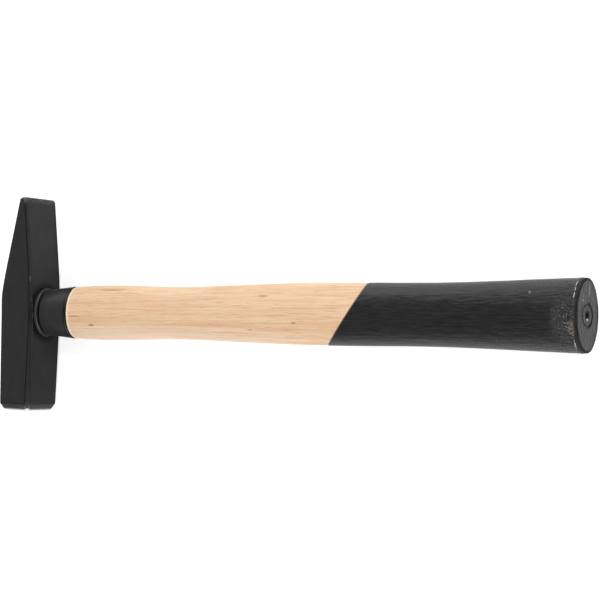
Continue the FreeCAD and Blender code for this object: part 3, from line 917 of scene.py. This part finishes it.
class HAMMER_OT_grip(bpy.types.Operator):
    """Model the dipped lacquer over the grip, with its slanted edge and the butt's marks"""

    bl_idname = "hammer.grip"
    bl_label = "Grip lacquer"

    def execute(self, context):
        grip, handle = context.scene.hammer_grip, context.scene.hammer_handle
        centre = eye_centre(context.scene.hammer_head)
        end, wood_end = GRIP_HIGH.x, WOOD_HIGH.x
        edge = end - grip.length
        fade = 5 * (edge - GRIP_LOW.x)
        bevel_start = wood_end - handle.butt_bevel
        turn_start = bevel_start + 0.5 * MM
        wood = Profile("handle", GRIP_LOW.x - 2 * MM, bevel_start, 2 * MM)
        face = Profile("grip_coating", bevel_start, end - EDGE_INSET, 0.2 * MM).at(end)
        full_round = Vector((1, 1))

        # Each ring is (place, half height, half width, thickness over wood, lean, finish, shade).
        def shank_ring(x, thickness, finish="side", shade=0.0):
            lean = max(0.0, 1 - (x - edge) / fade)
            return x, *wood.at(x), thickness, lean * lean * (3 - 2 * lean), finish, shade

        def end_ring(x, height, width, finish="smooth", shade=0.0):
            return x, height, width, 0.0, 0.0, finish, shade

        rings = [shank_ring(x, 0.0, "smooth") for x in spread(bevel_start, edge, 40)]
        rings += [
            shank_ring(edge + along, grip.thickness - inward, "smooth")
            for along, inward in quarter_round(grip.thickness, 4)[1:]
        ]
        blistered = bevel_start - BLISTER_ZONE
        last = turn_start - BEAD_ZONE
        places = spread(edge + grip.thickness, blistered, 96)[1:] + spread(blistered, last, 56)[1:]
        rings += [shank_ring(x, grip.thickness) for x in places]
        # The lacquer stands in a bead round the butt and dips behind it, then turns over the edge.
        # Shade is painted into the dip and over the edge, and glints onto the bead.
        for along, rise, dark in BEAD:
            thickness = grip.thickness + rise * grip.bead
            finish = "side" if dark == 0 else "rim"
            rings.append(shank_ring(turn_start - along * MM, thickness, finish, dark))
        full = wood.at(turn_start) + full_round * (grip.thickness - grip.bead)
        for along, inward in quarter_round(1.0, 5)[1:]:
            sizes = full + (face - full) * along
            rings.append(end_ring(end - (end - turn_start) * inward, *sizes, "rim", 1.0))
        crease = grip.crease_width
        for inward, depth, dark in CREASE:
            sizes = face - full_round * inward * crease
            rings.append(end_ring(end - depth * grip.crease_depth, *sizes, shade=dark))
        floor = end - 0.2 * grip.crease_depth
        rest = face - full_round * (0.15 * MM + crease)
        ring_outer = grip.ring_radius + grip.ring_width / 2 + 0.45 * MM
        ring_inner = grip.ring_radius - grip.ring_width / 2
        for share in spread(0, 1, 14)[1:-1]:
            sizes = [size * (1 - share) + ring_outer * share for size in rest]
            rings.append(end_ring(floor, *sizes, "face"))
        groove = floor - grip.ring_depth
        # The ring mark has painted shade on its lower half.
        for x, radius in (
            (floor, ring_outer), (groove, ring_outer - 0.55 * MM),
            (groove, ring_inner + 0.12 * MM), (floor, ring_inner),
        ):
            rings.append(end_ring(x, radius, radius, "ring", 1.0))
        hole = handle.hole_radius
        for radius in spread(ring_inner, hole + 0.8 * MM, 7)[1:]:
            rings.append(end_ring(floor, radius, radius, "face"))
        # The hole's mouth has painted shade, and a painted glint on one side.
        for out, dip in MOUTH:
            radius = hole + out * MM
            rings.append(end_ring(floor - dip * MM, radius, radius, "mouth", 1.0))
        # Down the centre hole to its point, and back up under the lacquer to the wood's end.
        bottom = wood_end - handle.hole_depth
        point = hole * 0.1
        wall = hole + grip.thickness - EDGE_INSET
        wood_face = Profile("handle", bevel_start, wood_end - EDGE_INSET, 0.1 * MM).at(wood_end)
        rings += [
            end_ring(floor - 0.6 * MM, hole, hole), end_ring(bottom, hole, hole),
            end_ring(bottom - hole * 0.6, point, point),
        ]
        under = [
            end_ring(bottom - hole, point, point), end_ring(bottom - hole * 0.4, wall, wall),
            end_ring(wood_end, wall, wall), end_ring(wood_end, *wood_face),
        ]

        def lift(point, finish):
            """How far the lacquer stands out or in from its plain shape."""
            if finish == "face":
                streak = noise.fractal(in_grains(point, 2, 4.5, 0.7), 1.0, 2.0, 3)
                return -0.09 * MM * (1 + streak)
            if finish != "side":
                return 0.0
            near_butt = smooth_step(point.x, blistered, blistered + 9 * MM)
            near_butt *= smooth_step(noise.noise(in_grains(point, 7, 5, 5)), -0.25, 0.25)
            return grip.grain_depth * (grain_height(point) - 0.6) \
                + grip.blister_depth * near_butt * (blister_height(point) - 0.45)

        def place(turn, station):
            x, height, width, thickness, lean, finish, _ = station
            up, across = math.cos(turn), math.sin(turn)
            if finish in ("side", "rim"):
                sway = smooth_step(x, last - 4 * MM, last) * (1 - smooth_step(x, turn_start, end))
                x += 0.35 * MM * sway * noise.noise(Vector((3 * up, 3 * across, 0)))
            shift = 0.0
            if lean > 0:
                for _ in range(2):
                    shift = lean * (grip.rise * height * up + grip.skew * width * across)
                    height, width = wood.at(x + shift)
            outward = Vector((0, up / height, across / width)).normalized()
            point = Vector((x + shift, height * up, width * across)) + outward * thickness
            towards = Vector((1, 0, 0)) if finish == "face" else outward
            point += towards * lift(point, finish)
            return point.x, centre.y + point.y, centre.z + point.z

        def shade(turn, station):
            """From 1 where shade is painted to -1 where glints are painted."""
            finish, dark = station[5:]
            up, across = math.cos(turn), math.sin(turn)
            if finish == "ring":
                return dark * clamp(0.3 - 1.5 * across)
            if finish == "mouth":
                return dark - 2 * smooth_step(-up, 0.7, 0.98)
            if dark < 0:
                # Glints in dashes, on the upper side and apart from its middle.
                low, high = (0.45, 0.92) if up > 0 else (0.66, 0.9)
                dashed = noise.noise(Vector((0, 0, 16 * turn))) > -0.1
                return dark if dashed and across > 0 and low < abs(up) < high else 0.0
            if finish == "rim" and station[0] < turn_start:
                dark *= smooth_step(abs(up), 0.3, 0.65)
            return dark * clamp(0.7 + 1.5 * across)

        bm = ring_skin(under + rings, place, 2 * OVAL_SEGMENTS, shade=shade)
        piece = finish_mesh(bm, "grip_lacquer_film", SHARP_SKIN)
        declare(piece, dipped_lacquer(centre, grip.tint), "grip_coating")
        return {"FINISHED"}


class HAMMER_OT_wedges(bpy.types.Operator):
    """Finish the wooden wedge and the steel ring wedge in the far end of the eye"""

    bl_idname = "hammer.wedges"
    bl_label = "Wedges"

    def execute(self, context):
        for node, finish in (("wood_wedge", wedge_beech), ("ring_wedge", bare_steel)):
            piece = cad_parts[node]
            piece.data.materials.clear()
            piece.data.materials.append(finish())
        return {"FINISHED"}


# ---- stage

TARGET = Vector((0.0, 0.0, 0.01))   # the middle of the hammer, which the lamps face


def soft_box(name, place, size, power):
    """Area light at a place, facing the hammer."""
    lamp = bpy.data.lights.new(name, "AREA")
    lamp.shape = "RECTANGLE"
    lamp.size, lamp.size_y = size
    lamp.energy = power
    holder = bpy.data.objects.new(name, lamp)
    holder.location = place
    holder.rotation_euler = (TARGET - Vector(place)).to_track_quat("-Z", "Y").to_euler()
    bpy.context.scene.collection.objects.link(holder)


class HAMMER_OT_stage(bpy.types.Operator):
    """Set the white floor, the soft lights and the camera"""

    bl_idname = "hammer.stage"
    bl_label = "Stage"

    def execute(self, context):
        stage = context.scene.hammer_stage
        bm = bmesh.new()
        bmesh.ops.create_grid(bm, x_segments=1, y_segments=1, size=stage.floor_size / 2)
        floor = finish_mesh(bm, "white_floor", SHARP)
        floor.data.materials.append(studio_board())
        floor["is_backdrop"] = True

        lens = bpy.data.cameras.new("studio_camera")
        lens.lens = stage.lens
        camera = bpy.data.objects.new("studio_camera", lens)
        camera.rotation_euler = stage.turn
        back = camera.rotation_euler.to_matrix() @ Vector((0, 0, 1))
        camera.location = Vector(stage.aim) + back * stage.distance
        context.scene.collection.objects.link(camera)
        context.scene.camera = camera

        # A broad soft box on each side, with a small bright flash tube in front of it.
        for name, side, power in (("upper", 1, 7.6), ("lower", -1, 7.0)):
            soft_box(name + "_soft_box", (0.45, 0.75 * side, 0.7), (1.0, 0.6), power)
            soft_box(name + "_flash_tube", (0.45, 0.9 * side, 0.45), (0.2, 0.2), 1.8)
        soft_box("far_soft_box", (-0.6, 0.9, 0.45), (1.3, 0.5), 2.6)

        # White walls round the table fade to a dimmer ceiling.
        world = bpy.data.worlds.new("studio_air")
        node = empty_nodes(world)
        height = node("SeparateXYZ", node("TexCoord", output="Generated"), output="Z")
        strength = node("MapRange", height, 0.05, 0.5, 1.0, stage.air)
        node("OutputWorld", node("Background", (1, 1, 1, 1), strength))
        context.scene.world = world
        context.scene.view_settings.view_transform = "Standard"
        return {"FINISHED"}


# ---- panel and registration

OPERATORS = (
    HAMMER_OT_stage, HAMMER_OT_head, HAMMER_OT_sleeve, HAMMER_OT_handle, HAMMER_OT_grip,
    HAMMER_OT_wedges,
)
SETTINGS = {
    "hammer_head": HammerHeadSizes,
    "hammer_sleeve": SleeveSizes,
    "hammer_handle": HandleSizes,
    "hammer_grip": GripSizes,
    "hammer_stage": StageSettings,
}


class HAMMER_PT_pieces(bpy.types.Panel):
    """Sizes of the hammer's pieces and the buttons that model them"""

    bl_idname = "HAMMER_PT_pieces"
    bl_label = "Cross-peen hammer"
    bl_space_type = "VIEW_3D"
    bl_region_type = "UI"
    bl_category = "Hammer"

    def draw(self, context):
        for item in OPERATORS:
            self.layout.operator(item.bl_idname)
        for name in SETTINGS:
            group = getattr(context.scene, name)
            for size in type(group).__annotations__:
                self.layout.prop(group, size)


def register():
    for item in (*SETTINGS.values(), *OPERATORS, HAMMER_PT_pieces):
        bpy.utils.register_class(item)
    for name, group in SETTINGS.items():
        setattr(bpy.types.Scene, name, bpy.props.PointerProperty(type=group))


def unregister():
    for name in SETTINGS:
        delattr(bpy.types.Scene, name)
    for item in reversed((*SETTINGS.values(), *OPERATORS, HAMMER_PT_pieces)):
        bpy.utils.unregister_class(item)


def main():
    register()
    bpy.ops.hammer.stage()
    bpy.ops.hammer.head()
    bpy.ops.hammer.sleeve()
    bpy.ops.hammer.handle()
    bpy.ops.hammer.grip()
    bpy.ops.hammer.wedges()
    boxes = {
        name: [list(corner) for corner in box]
        for name, box in (("cad", CAD_BOX), ("visual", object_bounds()))
    }


if __name__ == "__main__":
    main()
